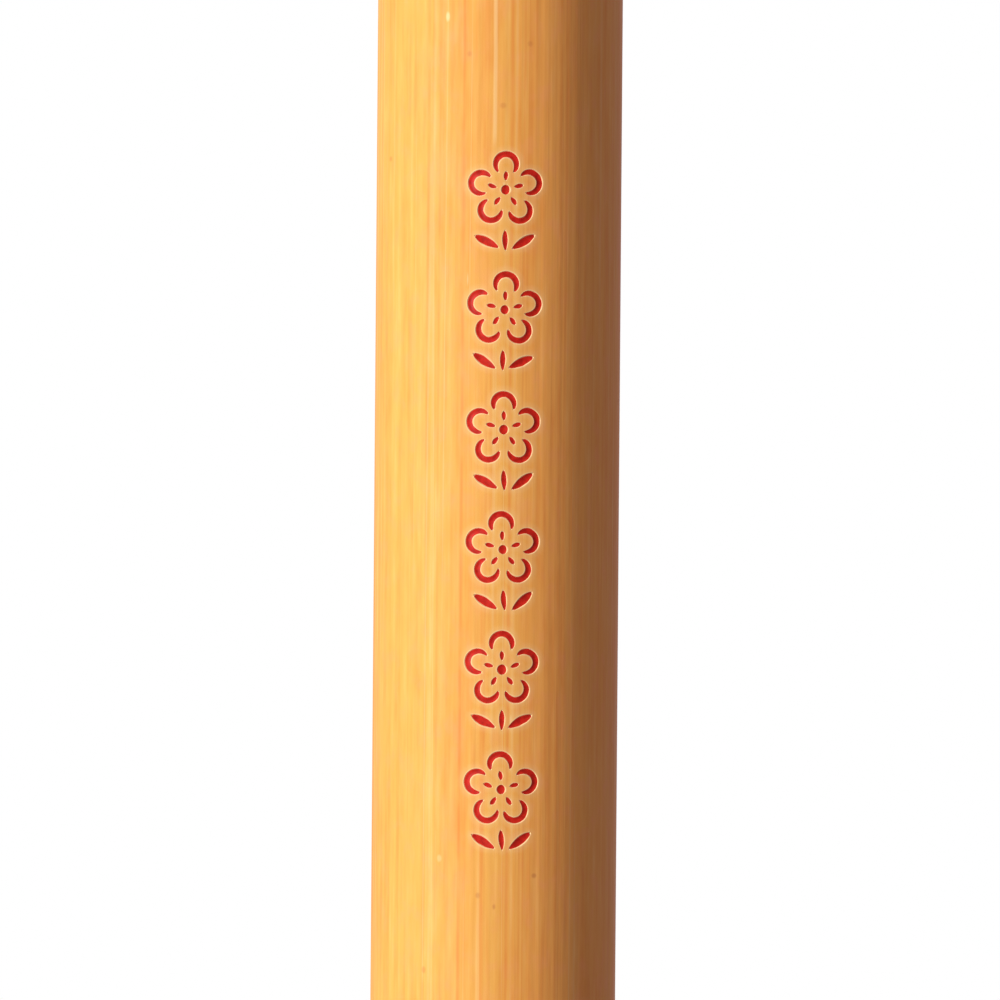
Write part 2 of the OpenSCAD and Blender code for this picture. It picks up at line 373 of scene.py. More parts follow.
def bamboo_material():
    """Sun-dried bamboo skin: straight fibres, lines, flecks and specks, pale where it is cut, and a painted
    shade tint that makes its right side redder.
    """
    s = Skin("bamboo_skin")
    value = 0.0
    for share, across, along, shift in (
        (0.12, 0.35, 0.02, (0, 0, 0)),     # broad bands
        (0.22, 1.7, 0.05, (3, 7, 1)),      # narrower ones
        (0.30, 5.0, 0.10, (9, 2, 5)),      # fibres
        (0.24, 3.6, 0.55, (2, 6, 9)),      # dashes along them
        (0.12, 0.5, 0.16, (1, 1, 8)),      # blotches
    ):
        value = s.plus(s.times(s.noise(across, along, shift, detail=3), share), value)
    colour = s.ramp(value, [
        (0.40, (0.790, 0.325, 0.043)),
        (0.48, (0.820, 0.375, 0.055)),
        (0.54, (0.835, 0.400, 0.063)),
        (0.62, (0.865, 0.450, 0.092)),
    ])
    mottle = s.noise(1.4, 0.9, (2, 9, 4), detail=3, roughness=0.6)
    colour = s.mix(s.fade(mottle, 0.46, 0.72, 0.0, 0.34), colour, (0.87, 0.355, 0.108))

    # painted shade tint: the right side, which faces away from the key light, is made redder so that its
    # shade takes a warmer tone
    shade_side_tint = s.fade(s.right, -0.2 * MM, 2.2 * MM)
    colour = s.mix(shade_side_tint, colour, (1.10, 0.985, 1.06), blend="MULTIPLY")

    dark_fibres = (
        (-3.1, 0.13, 0.42), (-2.6, 0.10, 0.30), (-1.55, 0.13, 0.62), (-0.5, 0.09, 0.30),
        (0.55, 0.12, 0.55), (1.1, 0.09, 0.32), (2.7, 0.12, 0.45),
    )
    dark = s.strongest(
        s.lines(1.3, 0.004, (4, 4, 2), 0.020, 0.40),
        *(s.fibre_line(*fibre, seed) for seed, fibre in enumerate(dark_fibres, 1)),
    )
    colour = s.mix(dark, colour, (0.76, 0.225, 0.022))

    # the scratch runs down to a little way over the carving
    scratch_end = -CARVING_DROP + CARVED_REACH
    scratch = s.times(s.fade(s.from_line(-0.2), 0.03, 0.13, 0.50, 0.0),
                     s.fade(s.height, scratch_end - 0.6, scratch_end + 0.4))
    pale = s.strongest(
        s.lines(1.0, 0.004, (8, 1, 6), 0.017, 0.26), scratch,
        s.fibre_line(-2.85, 0.12, 0.20, 8), s.fibre_line(0.75, 0.10, 0.22, 9),
        s.spot(-2.3, -64.0, 0.13, 0.30, 0.9), s.spot(-2.4, -100.6, 0.16, 0.22, 0.4),
    )
    colour = s.mix(pale, colour, (0.97, 0.640, 0.260))

    dark_spots = (
        (-4.8, -70.0, 0.17, 0.16, 0.40), (-1.35, -65.65, 0.16, 0.18, 0.30),
        (1.3, -65.2, 0.17, 0.18, 0.30), (0.15, -67.9, 0.20, 0.18, 0.32),
        (1.75, -101.3, 0.16, 0.15, 0.50), (-0.7, -102.15, 0.15, 0.18, 0.36),
        (-3.05, -105.5, 0.15, 0.22, 0.40),
    )
    specks = s.strongest(
        s.scatter(0.75, 0.45, 0.08, 0.085, (0, 0, 3), 0.5),
        *(s.spot(*place) for place in dark_spots),
    )
    colour = s.mix(specks, colour, (0.50, 0.150, 0.030))
    flecks = s.scatter(1.5, 0.22, 0.06, 0.10, (5, 0, 1), 0.45)
    colour = s.mix(flecks, colour, (0.98, 0.700, 0.340))
    colour = s.mix(s.fade(s.attribute("cut"), 0.0, 0.5, 0.0, 0.85), colour, (0.96, 0.680, 0.330))

    fine = s.noise(6.0, 0.08, (4, 8, 5), detail=3, roughness=0.6)
    dashes = s.noise(2.6, 0.35, (7, 3, 2), detail=2)
    s.base(Base_Color=colour, Roughness=s.fade(dashes, 0.3, 0.7, 0.62, 0.76), IOR=1.5)
    s.base(Sheen_Weight=0.12, Sheen_Tint=(0.44, 0.46, 1.0, 1))
    s.bump(s.plus(dashes, fine), 0.012, 0.6)
    return s.material


def lacquer_material():
    """Vermilion: brighter where thin at its edges, deeper along the middle of a cut."""
    s = Shader("vermilion_lacquer")
    grain = s.noise(5, 5, detail=3)
    colour = s.ramp(grain, [(0.35, (0.43, 0.008, 0.001)), (0.65, (0.62, 0.013, 0.002))])
    colour = s.mix(s.fade(s.attribute("edge"), 0.55, 1.0, 0.0, 0.5), colour, (0.74, 0.036, 0.004))
    s.base(Base_Color=colour, Roughness=s.fade(grain, 0.3, 0.7, 0.48, 0.64), IOR=1.5)
    s.base(Specular_IOR_Level=0.25)
    s.bump(grain, 0.01, 0.5)
    return s.material


def horn_material():
    """Dark buffalo horn, with brown streaks that run with its length."""
    s = Shader("dark_horn")
    streak = s.noise(0.55, 0.10, detail=5, roughness=0.6, distortion=0.5)
    cloud = s.noise(0.22, 0.08, (4, 2, 0), detail=3)
    both = s.plus(s.times(streak, 0.65), s.times(cloud, 0.35))
    colour = s.ramp(both, [
        (0.40, (0.006, 0.005, 0.0045)),
        (0.54, (0.014, 0.009, 0.007)),
        (0.63, (0.060, 0.028, 0.014)),
        (0.74, (0.150, 0.075, 0.036)),
    ])
    polish = s.noise(6, 6, (1, 5, 2), detail=4)
    s.base(Base_Color=colour, Roughness=s.fade(polish, 0.3, 0.8, 0.20, 0.27), IOR=1.55)
    s.base(Coat_Weight=0.25, Coat_Roughness=0.12)
    s.bump(s.plus(s.times(polish, 0.4), s.noise(0.6, 9, detail=1)), 0.003, 0.5)
    return s.material


def bone_material():
    """Polished bone: ivory with fine pores and faint tan lines."""
    s = Shader("polished_bone")
    cloud = s.noise(0.6, 0.9, detail=4)
    colour = s.ramp(cloud, [(0.35, (0.72, 0.60, 0.40)), (0.60, (0.86, 0.78, 0.58))])
    pores = s.noise(14, 5, (3, 3, 3), detail=1)
    colour = s.mix(s.fade(pores, 0.66, 0.74, 0.0, 0.6), colour, (0.36, 0.25, 0.14))
    s.base(Base_Color=colour, Roughness=s.fade(cloud, 0.3, 0.7, 0.26, 0.40), IOR=1.5)
    s.base(Subsurface_Weight=0.15, Subsurface_Scale=0.6 * MM)
    s.bump(pores, 0.01, -0.5)
    return s.material


def resin_material():
    """Amber pine resin, cloudy, with small bubbles."""
    s = Shader("pine_resin")
    cloud = s.noise(0.8, 0.8, detail=4)
    colour = s.ramp(cloud, [(0.3, (0.12, 0.04, 0.010)), (0.7, (0.42, 0.20, 0.055))])
    bubbles = s.noise(9, 9, detail=1)
    s.base(Base_Color=colour, Roughness=s.fade(bubbles, 0.4, 0.8, 0.12, 0.4), IOR=1.54)
    s.bump(bubbles, 0.04, 0.6)
    return s.material


def seared_material():
    """Hair ends burnt to a hard, blistered black disc."""
    s = Shader("seared_hair_ends")
    ends = s.noise(11, 11, detail=3, roughness=0.7)
    colour = s.ramp(ends, [
        (0.35, (0.008, 0.005, 0.004)),
        (0.62, (0.035, 0.018, 0.010)),
        (0.80, (0.11, 0.05, 0.02)),
    ])
    s.base(Base_Color=colour, Roughness=s.fade(ends, 0.3, 0.8, 0.45, 0.85), IOR=1.5)
    s.bump(ends, 0.06)
    return s.material


def thread_material():
    """Waxed hemp: fine fibres along the twist."""
    s = Shader("hemp_thread")
    fibre = s.noise(12, 14, detail=4, roughness=0.7)
    colour = s.ramp(fibre, [(0.3, (0.34, 0.26, 0.15)), (0.7, (0.72, 0.62, 0.44))])
    s.base(Base_Color=colour, Roughness=s.fade(fibre, 0.3, 0.7, 0.6, 0.85), IOR=1.45)
    s.base(Sheen_Weight=0.25)
    s.bump(fibre, 0.03)
    return s.material


def hair_material(name, root, middle, tip, seed):
    """Fine animal hair: it darkens and lightens from strand to strand, and along its length."""
    s = Shader(name)
    # the grain is read from where each point is at rest, so that it bends with the hair
    s.position = s.add("ShaderNodeAttribute", attribute_name="rest").outputs["Vector"]
    strand = s.noise(7, 0.05, (seed, 1, 2), detail=4, roughness=0.65)
    lock = s.noise(1.1, 0.03, (seed, 5, 2), detail=2)
    tone = s.plus(s.times(strand, 0.6), s.times(lock, 0.4))
    along = s.attribute("along")
    colour = s.ramp(along, [(0.0, root), (0.45, middle), (0.82, tip), (1.0, tip)])
    colour = s.mix(s.fade(tone, 0.38, 0.52, 0.42, 0.0), colour, [c * 0.42 for c in middle])
    colour = s.mix(s.fade(tone, 0.52, 0.66, 0.0, 0.35), colour, [min(1, c * 1.9) for c in middle])
    one = s.attribute("strand")
    colour = s.mix(s.fade(one, 0.0, 0.35, 0.35, 0.0), colour, [c * 0.45 for c in middle])
    s.base(Base_Color=colour, Roughness=s.fade(strand, 0.3, 0.7, 0.34, 0.5), IOR=1.55)
    s.base(Anisotropic=0.5, Sheen_Weight=0.12)
    s.bump(strand, 0.02, 0.8)
    return s.material


# ---- the bamboo handle, with its cuts as real grooves ----

section = ripples(11, 2, 5, 6, 0.004)           # how far the culm is from round
fibre_ridges = ripples(12, 24, 96, 44, 0.012)    # the fibres that stand up in the skin


def skin_r(turn, z):
    """Radius of the bamboo's skin."""
    return HANDLE_R - 0.03 + 0.016 * section(turn, z) + 0.0055 * fibre_ridges(turn, z)


class Stroke:
    """One chisel cut: a line with a half width, across which its wall falls to the middle."""

    def __init__(self, left, right):
        self.left, self.right = left, right
        self.middle = (left + right) / 2
        self.half = np.linalg.norm(left - right, axis=1) / 2

    def ring(self, share):
        """The line at a share of the half width, right round the cut."""
        left = self.middle + (self.left - self.middle) * share
        right = self.middle + (self.right - self.middle) * share
        return np.concatenate([left, right[-2:0:-1]])

    def ring_half(self):
        """The half width at each point of a ring."""
        return np.concatenate([self.half, self.half[-2:0:-1]])


def hand(rng, count, amount):
    """The slow unsteadiness of a hand along a cut."""
    t = np.linspace(0, 1, count)
    return amount * sum(
        rng.normal() * np.sin(TAU * (k * t / 2 + rng.uniform())) / k for k in (1, 2, 3)
    )


def turned(points, angle):
    """Flat points turned anticlockwise about their origin."""
    c, s = math.cos(angle), math.sin(angle)
    return points @ np.array([[c, s], [-s, c]])


def lens(size, place, lean, rng, count=15):
    """A cut with two pointed ends, a little heavier at the end where the chisel went in."""
    t = np.linspace(-1, 1, count)
    half = size[1] / 2 * (1 - t ** 2) ** 0.85 * (1 + 0.16 * t)
    middle = np.stack([hand(rng, count, 0.008), t * size[0] / 2], axis=1)
    side = np.stack([half, 0 * t], axis=1)
    return turned(middle - side, lean) + place, turned(middle + side, lean) + place


def petal(lean, rng, count=27):
    """A cut of even width that curves round a petal's edge and runs out at its two ends."""
    t = np.linspace(-1, 1, count)
    sweep = t * PETAL_SWEEP * (1 + 0.04 * rng.normal())
    r = PETAL_R + hand(rng, count, 0.006)
    half = PETAL_WIDTH / 2 * (1 - t ** 4) ** 0.8 * (1 + 0.10 * rng.uniform(-1, 1) * t)
    away = np.stack([np.sin(sweep), np.cos(sweep)], axis=1)
    inner, outer = (away * radius[:, None] + (0, PETAL_REACH) for radius in (r - half, r + half))
    return turned(inner, lean), turned(outer, lean)


def dot(rng, count=9):
    """A round pit, as a cut whose two sides are its two halves."""
    t = np.linspace(0, math.pi, count)
    r = DOT_R * (1 + 0.06 * rng.normal())
    left = np.stack([-r * np.sin(t), r * np.cos(t)], axis=1)
    right = np.stack([r * np.sin(t), r * np.cos(t)], axis=1)
    return left, right


def carving():
    """Every cut of the ornament, as strokes in (distance across, height)."""
    rng = np.random.RandomState(5)
    top = -CARVING_DROP + (BLOSSOMS - 1) * BLOSSOM_PITCH / 2 - BLOSSOM_MIDDLE
    strokes = []
    for k in range(BLOSSOMS):
        sides = [dot(rng)]
        for lean in even_turns(5):
            lean += rng.normal() * 0.03
            sides.append(petal(lean, rng))
            away = turned(np.array([0, STAMEN_REACH]), lean)
            sides.append(lens(STAMEN, away, lean + rng.normal() * 0.06, rng, 9))
        sides.append(lens(STEM, STEM_AT, rng.normal() * 0.05, rng))
        for side in (-1, 1):
            place = (side * LEAF_AT[0], LEAF_AT[1])
            sides.append(lens(LEAF, place, -side * LEAF_LEAN + rng.normal() * 0.05, rng))
        sway = rng.normal() * 0.02
        place = (0, top - k * BLOSSOM_PITCH)
        for left, right in sides:
            strokes.append(Stroke(turned(left, sway) + place, turned(right, sway) + place))
    return strokes


def across_to_turn(across):
    """Angle round the handle, from the front, of a distance across the carving."""
    return np.arcsin(np.asarray(across) / HANDLE_R) + CARVING_TURN


def on_skin(turn, z, depth=0.0):
    return placed(skin_r(turn, z) - depth, turn, z)


def cut_points(strokes):
    """Rings of points round every cut, from the scuffed skin down its walls, then a line along its floor:
    where they are, how deep, how far cut open (0 to 1), and the pairs that form its edges."""
    flat, depth, cut, edges = [], [], [], []
    marks = {SCUFF_TO: WORN, LIP_AT: 0.36, 0.80: 1.0, 0.45: 1.0}
    for stroke in strokes:
        last = len(stroke.half) - 1
        for share, mark in marks.items():
            ring = stroke.ring(share)
            first = len(flat)
            flat.extend(ring)
            depth.extend(stroke.ring_half() * CUT_STEEPNESS * max(0, 1 - share))
            cut.extend([mark] * len(ring))
            for i in range(len(ring)):
                j = (i + 1) % len(ring)
                # every ring meets the others at a cut's two ends, where only the lip is drawn
                if share == LIP_AT or not {i, j} & {0, last}:
                    edges.append((first + i, first + j))
        first = len(flat)
        flat.extend(stroke.middle[1:-1])
        depth.extend(stroke.half[1:-1] * CUT_STEEPNESS)
        cut.extend([1.0] * (last - 1))
        edges.extend((first + i, first + i + 1) for i in range(last - 2))
    return flat, depth, cut, edges


def carved_panel(strokes, half_angle, columns, rows):
    """The stretch of skin that holds the carving: a grid of points with every cut's edges worked in."""
    flat, depth, cut, edges = cut_points(strokes)

    # the skin between the cuts, finer than the rows and columns that meet the rest of the culm
    half_wide, step = math.sin(half_angle) * HANDLE_R, 0.12
    cells = np.array([
        (x, z) for z in np.arange(rows[0] + step, rows[-1] - step / 2, step)
        for x in np.arange(step - half_wide, half_wide - step / 2, step)
    ])
    away = np.full(len(cells), WORN_TO)
    for stroke in strokes:
        outline = stroke.ring(SCUFF_TO)
        gap = np.linalg.norm(cells[:, None] - outline[None], axis=2).min(axis=1)
        away = np.minimum(away, np.where(inside(cells, outline), 0, gap))
    free = away > step / 2
    worn = WORN * (1 - (away[free] / WORN_TO) ** 2)
    across = np.sin(np.linspace(-half_angle, half_angle, columns + 1)) * HANDLE_R
    border = [(x, z) for z in rows for x in across if z in rows[[0, -1]] or x in across[[0, -1]]]

    given = np.concatenate([flat, cells[free], border])
    depth = np.concatenate([depth, np.zeros(len(given) - len(flat))])
    cut = np.concatenate([cut, worn, np.zeros(len(border))])
    made, _, faces, source, _, _ = delaunay_2d_cdt([Vector(p) for p in given], edges, [], 0, 1e-7, True)
    flat = np.array([given[s[0]] if s else p[:] for p, s in zip(made, source)])
    depth = np.array([max(depth[i] for i in s) if s else 0.0 for s in source])
    cut = np.array([min(cut[i] for i in s) if s else WORN for s in source])
    return on_skin(across_to_turn(flat[:, 0]), flat[:, 1], depth), cut, faces


def inside(points, outline):
    """Which points lie within a closed outline."""
    x, y = points.T
    crossings = np.zeros(len(points), bool)
    for (x1, y1), (x2, y2) in zip(outline, np.roll(outline, -1, axis=0)):
        if y1 != y2:
            spans = (y1 > y) != (y2 > y)
            crossings ^= spans & (x < (x2 - x1) * (y - y1) / (y2 - y1) + x1)
    return crossings


def bamboo(strokes, material):
    """The whole culm: carved panel, the skin round it, the two ends, the tenon and the hollow."""
    panel_half = math.radians(21)
    panel_columns, back_columns, upper_rows, lower_rows = 36, 196, 25, 33
    rows = np.linspace(-CARVING_DROP - CARVED_REACH, -CARVING_DROP + CARVED_REACH, 82)
    front, cut, faces = carved_panel(strokes, panel_half, panel_columns, rows)
    ahead = np.linspace(-panel_half, panel_half, panel_columns + 1)
    behind = np.linspace(panel_half, TAU - panel_half, back_columns + 1)[1:-1]
    turns = np.concatenate([ahead, behind]) + CARVING_TURN
    points, parts, count = [front], [faces], len(front)

    # beside the panel
    side = np.append(turns[panel_columns:], turns[0] + TAU)
    points.append(on_skin(side, rows[:, None]).reshape(-1, 3))
    parts.append(grid_faces(len(rows), len(side), first=count, wrap_columns=False))
    count += len(rows) * len(side)

    # above and below it, round the softened ends, and through the hollow to where the two meet
    edge, meeting = 0.16, HANDLE_TOP - 60
    quarter = np.linspace(0, math.pi / 2, 5)
    pulled_in = edge * (1 - np.cos(quarter))
    short = edge * (1 - np.sin(quarter))
    upper = np.linspace(rows[-1], HANDLE_TOP - edge, upper_rows, endpoint=False)
    lower = np.linspace(rows[0], HANDLE_BOTTOM + edge, lower_rows, endpoint=False)
    hollow = [(HOLLOW_R, HANDLE_TOP), (HOLLOW_R, meeting)]
    tenon = [(TENON_R, HANDLE_BOTTOM), (TENON_R, TENON_BOTTOM + 0.2), (TENON_R - 0.2, TENON_BOTTOM),
             (HOLLOW_R, TENON_BOTTOM), (HOLLOW_R, meeting)]
    for skin, rounding, closing in (
        (upper, HANDLE_TOP - short, hollow), (lower, HANDLE_BOTTOM + short, tenon),
    ):
        heights = np.concatenate([skin, rounding])
        depths = np.concatenate([np.zeros(len(skin)), pulled_in])
        grid = np.concatenate([
            on_skin(turns, heights[:, None], depths[:, None]),
            [placed(radius, turns, z) for radius, z in closing],
        ])
        quads = grid_faces(len(grid), len(turns), first=count)
        parts.append(quads if closing is hollow else [quad[::-1] for quad in quads])
        points.append(grid.reshape(-1, 3))
        count += len(grid) * len(turns)

    merged, index = merge(np.concatenate(points))
    faces = [[index[i] for i in face] for part in parts for face in part]
    piece = mesh_object("bamboo_culm", merged, faces, material, smooth=40)
    marks = np.zeros(len(merged))
    marks[index[:len(cut)]] = cut
    set_attribute(piece, "cut", marks)
    return piece


def merge(points, near=1e-4):
    """Points with those at one place joined, and where each one went."""
    keys = np.round(points / near).astype(np.int64)
    _, first, index = np.unique(keys, axis=0, return_index=True, return_inverse=True)
    return points[first], index.ravel()


def lacquer(strokes, material):
    """The paint in each cut: a thin closed body with a hollowed top, its edge a little ragged."""
    rng = np.random.RandomState(8)
    sunk_beside, sunk_middle = 0.24, 0.32       # shares of the cut's depth
    points, faces, edge = [], [], []
    base = 0
    for stroke in strokes:
        count = len(stroke.half)
        ragged = FILL_TO + 0.05 * np.convolve(rng.normal(size=2 * count), [0.25, 0.5, 0.25], "same")
        ragged = np.clip(ragged, 0.8, 0.98)
        inner = slice(1, count - 1)
        middle, full = stroke.middle[inner], stroke.half[inner] * CUT_STEEPNESS
        to_left, to_right = ragged[:count][inner, None], ragged[count:][inner, None]
        left, right = (stroke.left[inner] - middle) * to_left, (stroke.right[inner] - middle) * to_right
        # across the top, whose middle sinks, from left to right, then the bottom of the cut
        stations = [
            (left, full * (1 - to_left[:, 0]), 1.0),
            (left * 0.5, full * sunk_beside, 0.5),
            (0 * left, full * sunk_middle, 0.0),
            (right * 0.5, full * sunk_beside, 0.5),
            (right, full * (1 - to_right[:, 0]), 1.0),
            (0 * left, full, 0.0),
        ]
        for offset, depth, share in stations:
            flat = middle + offset
            points.append(on_skin(across_to_turn(flat[:, 0]), flat[:, 1], depth))
            edge.extend([share] * len(flat))
        along, wide = count - 2, len(stations)
        faces.extend(grid_faces(wide, along, base, wrap_rows=True, wrap_columns=False))
        faces.append([base + j * along for j in range(wide)])
        faces.append([base + j * along + along - 1 for j in range(wide)][::-1])
        base += wide * along
    piece = mesh_object("lacquer_in_cuts", np.concatenate(points), faces, material, smooth=60)
    set_attribute(piece, "edge", edge)
    return piece


# ---- turned pieces ----

def tail_cap(material):
    """Turned horn: a spigot in the bamboo, a grooved band, a cove, and a dome with the cord hole."""
    band_h, cove_r, land_r = 1.5, 0.75, 1.9
    cove_z = CAP_BOTTOM + band_h + cove_r
    dome_z = cove_z + cove_r
    dome_r = CAP_R - 0.15
    cove = [(CAP_R - cove_r * math.cos(a), cove_z + cove_r * math.sin(a), 0)
            for a in np.linspace(-math.pi / 2, math.pi / 2, 15)[1:-1]]
    dome = [(land_r + (dome_r - land_r) * math.cos(a), dome_z - dome_z * math.sin(a), 0)
            for a in np.linspace(0.12, math.pi / 2, 26)]
    outline = rounded([
        (CORD_HOLE_R, SPIGOT_BOTTOM, 0.1), (HOLLOW_R - GLUE_GAP, SPIGOT_BOTTOM, 0.3),
        (HOLLOW_R - GLUE_GAP, CAP_BOTTOM, 0),
        (CAP_R, CAP_BOTTOM, 0.18), (CAP_R, CAP_BOTTOM + band_h, 0.14),
        *cove, (dome_r, dome_z, 0.12), *dome,
        (CORD_HOLE_R + 0.45, -0.02, 0.12), (CORD_HOLE_R, -0.5, 0.2),
    ])

    def grooves(radius, height, turn):
        deep, wide = 0.07, 0.07
        for place in (CAP_BOTTOM + 0.5, CAP_BOTTOM + 1.0):
            outside = radius > CAP_R - 0.3
            radius = radius - outside * deep * np.exp(-((height - place) / wide) ** 2)
        return radius, height

    # closer rings on the band, for its grooves, and on the dome's straight foot
    fine = []
    for a, b in zip(outline, outline[1:] + outline[:1]):
        inset, rise = CAP_R - min(a[0], b[0]), abs(a[1] - b[1])
        steps = 14 if inset < 0.01 or (inset < 0.3 and 0.5 < rise < 1) else 1
        fine.extend(a + (b - a) * i / steps for i in range(steps))
    return lathe("horn_tail_cap", fine, material, wobble=grooves)


def bone_ring(name, top, bottom, outer, inner, material):
    """A ring with a softly domed edge and a fine line cut round it."""
    falls, line_deep, line_wide = 0.10, 0.05, 0.06
    swell = [(outer - falls * (2 * h - 1) ** 2 - line_deep * math.exp(-((h - 0.5) / line_wide) ** 2),
              bottom + (top - bottom) * h, 0) for h in np.linspace(0, 1, 19)]
    swell[0] = (swell[0][0], bottom, 0.05)
    swell[-1] = (swell[-1][0], top, 0.05)
    return lathe(name, rounded([(inner, bottom, 0.05), *swell, (inner, top, 0.05)]), material)


def ferrule(material):
    """Flared horn sleeve with three fine turned lines near its ends, a pocket, a web and a hair socket."""
    lip = 0.7
    web_top, web_bottom = TENON_BOTTOM - 0.3, TENON_BOTTOM - 1.5
    top_r, pocket_r, web_hole_r = MOUTH_RING_R - 0.05, TENON_R + GLUE_GAP, HOLLOW_R - 0.6
    flare_h = FERRULE_TOP - MOUTH - lip
    lines = {MOUTH + 2.2: 0.10, MOUTH + 2.9: 0.10, FERRULE_TOP - 1.1: 0.08}
    line_wide, close = 0.13, 0.34
    heights = set(np.linspace(FERRULE_TOP, MOUTH + lip, 50)[1:])
    for line in lines:
        # closer rings for the line
        heights = {z for z in heights if abs(z - line) > close} | set(line + np.linspace(-close, close, 13))
    outside = []
    for z in sorted(heights, reverse=True):
        u = (FERRULE_TOP - z) / flare_h
        r = top_r + (MOUTH_R - top_r) * (1 - math.cos(math.pi * u)) / 2
        r -= sum(depth * math.exp(-((z - line) / line_wide) ** 2) for line, depth in lines.items())
        outside.append((r, z, 0))
    rim = [(MOUTH_R - lip + lip * math.cos(a), MOUTH + lip - lip * math.sin(a), 0)
           for a in np.linspace(0, math.pi / 2, 9)[1:]]
    outline = rounded([
        (web_hole_r, web_top, 0.1), (pocket_r, web_top, 0.1), (pocket_r, FERRULE_TOP, 0.08),
        (top_r, FERRULE_TOP, 0.14), *outside, *rim,
        (SOCKET_R + lip, MOUTH, 0.15), (SOCKET_R, MOUTH + lip, 0.2),
        (SOCKET_R, web_bottom, 0.2), (web_hole_r, web_bottom, 0.1),
    ])
    return lathe("horn_ferrule", outline, material, columns=144)


def resin(material):
    """The glue between socket and hair, with a wavy lower edge where it rose by itself."""
    wave = ripples(31, 2, 9, 8, 0.0)

    def creep(radius, height, turn):
        low = height < RESIN_BOTTOM + 0.6
        return radius, height + low * 0.22 * wave(turn, 0)

    vent_r, round_root, over_disc = 0.4, ROOT_R + GLUE_GAP, SEAR_TOP + 0.06
    outline = rounded([
        (round_root, RESIN_BOTTOM + 0.45, 0.1), (RESIN_R, RESIN_BOTTOM + 0.25, 0.1),
        (RESIN_R, SOCKET_TOP, 0.2), (vent_r, SOCKET_TOP, 0.1), (vent_r, over_disc, 0.1),
        (ROOT_R - 0.3, over_disc, 0.1), (round_root, SEAR_TOP - 0.3, 0.1),
    ])
    return lathe("resin_plug", outline, material, columns=96, wobble=creep)


def seared_disc(material):
    """The burnt end of the hair bundle: a low dome covered in small blisters."""
    blister = ripples(41, 3, 40, 30, 3.0)
    above, below = 26, 10
    radii = np.concatenate([np.linspace(0.02, ROOT_R - 0.05, above), np.linspace(ROOT_R, 0.02, below)])
    dome = SEAR_TOP - 0.28 * np.linspace(0, 1, above) ** 3 - 0.02
    outline = np.stack([radii, np.concatenate([dome, np.full(below, SEAR_BOTTOM)])], axis=1)

    def bumps(radius, height, turn):
        rise = 0.045 * blister(turn, radius) * (height > SEAR_BOTTOM + 0.1) * np.minimum(1, radius)
        return radius, height + rise

    return lathe("seared_disc", outline, material, columns=120, wobble=bumps, smooth=60)


def thread(material):
    """One twisted thread wound round the root, its ends tucked under the turns."""
    turns, sides, steps = 6, 14, 64
    count = turns * steps
    t = np.linspace(0, 1, count + 1)
    turn = TAU * turns * t
    wind = THREAD_OUT - THREAD_R
    tuck = 0.20 * (np.clip(1 - t * 40, 0, 1) + np.clip(1 - (1 - t) * 40, 0, 1))
    drop = WAIST_BOTTOM - WAIST_TOP + 2 * THREAD_R
    height = WAIST_TOP - THREAD_R + drop * t + 0.015 * np.sin(5 * turn / 3)
    lobe = even_turns(sides)
    twist = 22 * turn
    plies = THREAD_R * (0.80 + 0.17 * np.abs(np.cos(lobe - twist[:, None] / 2)))
    radius = wind - tuck[:, None] + plies * np.cos(lobe)
    points = placed(radius, turn[:, None], height[:, None] + plies * np.sin(lobe)).reshape(-1, 3)
    faces = [quad[::-1] for quad in grid_faces(count + 1, sides)]
    faces.append(list(range(sides)))
    faces.append([count * sides + i for i in range(sides)][::-1])
    return mesh_object("hemp_binding", points, faces, material, smooth=60)


# ---- hair: bundles with ridged surfaces, and strands that lie on them ----

def tuft_r(s):
    """Radius of the whole tuft at a distance below the ferrule: full at the belly, then to a point."""
    s = np.asarray(s, float)
    taper = 1 - np.clip(s / TUFT_LEN, 0, 1) ** 2.1
    return TUFT_R * np.maximum(taper, 0) * (1 - 0.085 * np.exp(-np.maximum(s, -3) / 3.0))


def bundle(name, outer, inner, start, end, material, seed, ridge=0.05, columns=300, rows=70, ragged=0.0):
    """A gathered layer of hair between two distances below the ferrule, hollow if inner is given."""
    wave = ripples(seed, 18, columns // 5, 48, 0.05)
    lump = ripples(seed + 1, 3, 12, 10, 0.06)
    broken = ripples(seed + 2, 8, 60, 30, 0.0)
    turn = even_turns(columns)
    u = np.linspace(0, 1, rows)[:, None]
    s = start + (end - start) * u + ragged * u ** 6 * broken(turn, 0)
    r = outer(s)
    size = np.clip(r / TUFT_R, 0, 1)
    r = np.maximum(r + size * (ridge * wave(turn, s) + 0.6 * ridge * lump(turn, s)), 0.01)
    if inner is not None:
        within = np.maximum(np.minimum(inner(s), r - 0.02), 0.005)
        r, s = np.concatenate([r, within[::-1]]), np.concatenate([s, s[::-1]])
    points = placed(r, turn, MOUTH - s).reshape(-1, 3)
    faces = [quad[::-1] for quad in grid_faces(len(r), columns, wrap_rows=inner is not None)]
    if inner is None:
        ends = np.array([[0, 0, MOUTH - start], [0, 0, MOUTH - end]])
        base, last = len(points), (rows - 1) * columns
        points = np.concatenate([points, ends])
        for c in range(columns):
            d = (c + 1) % columns
            faces.append([base, c, d])
            faces.append([base + 1, last + d, last + c])
    piece = mesh_object(name, points, faces, material, smooth=None)
    keep_rest_places(piece, points)
    set_attribute(piece, "along", np.clip((MOUTH - points[:, 2]) / TUFT_LEN, 0, 1))
    set_attribute(piece, "strand", np.full(len(points), 0.5))
    return piece


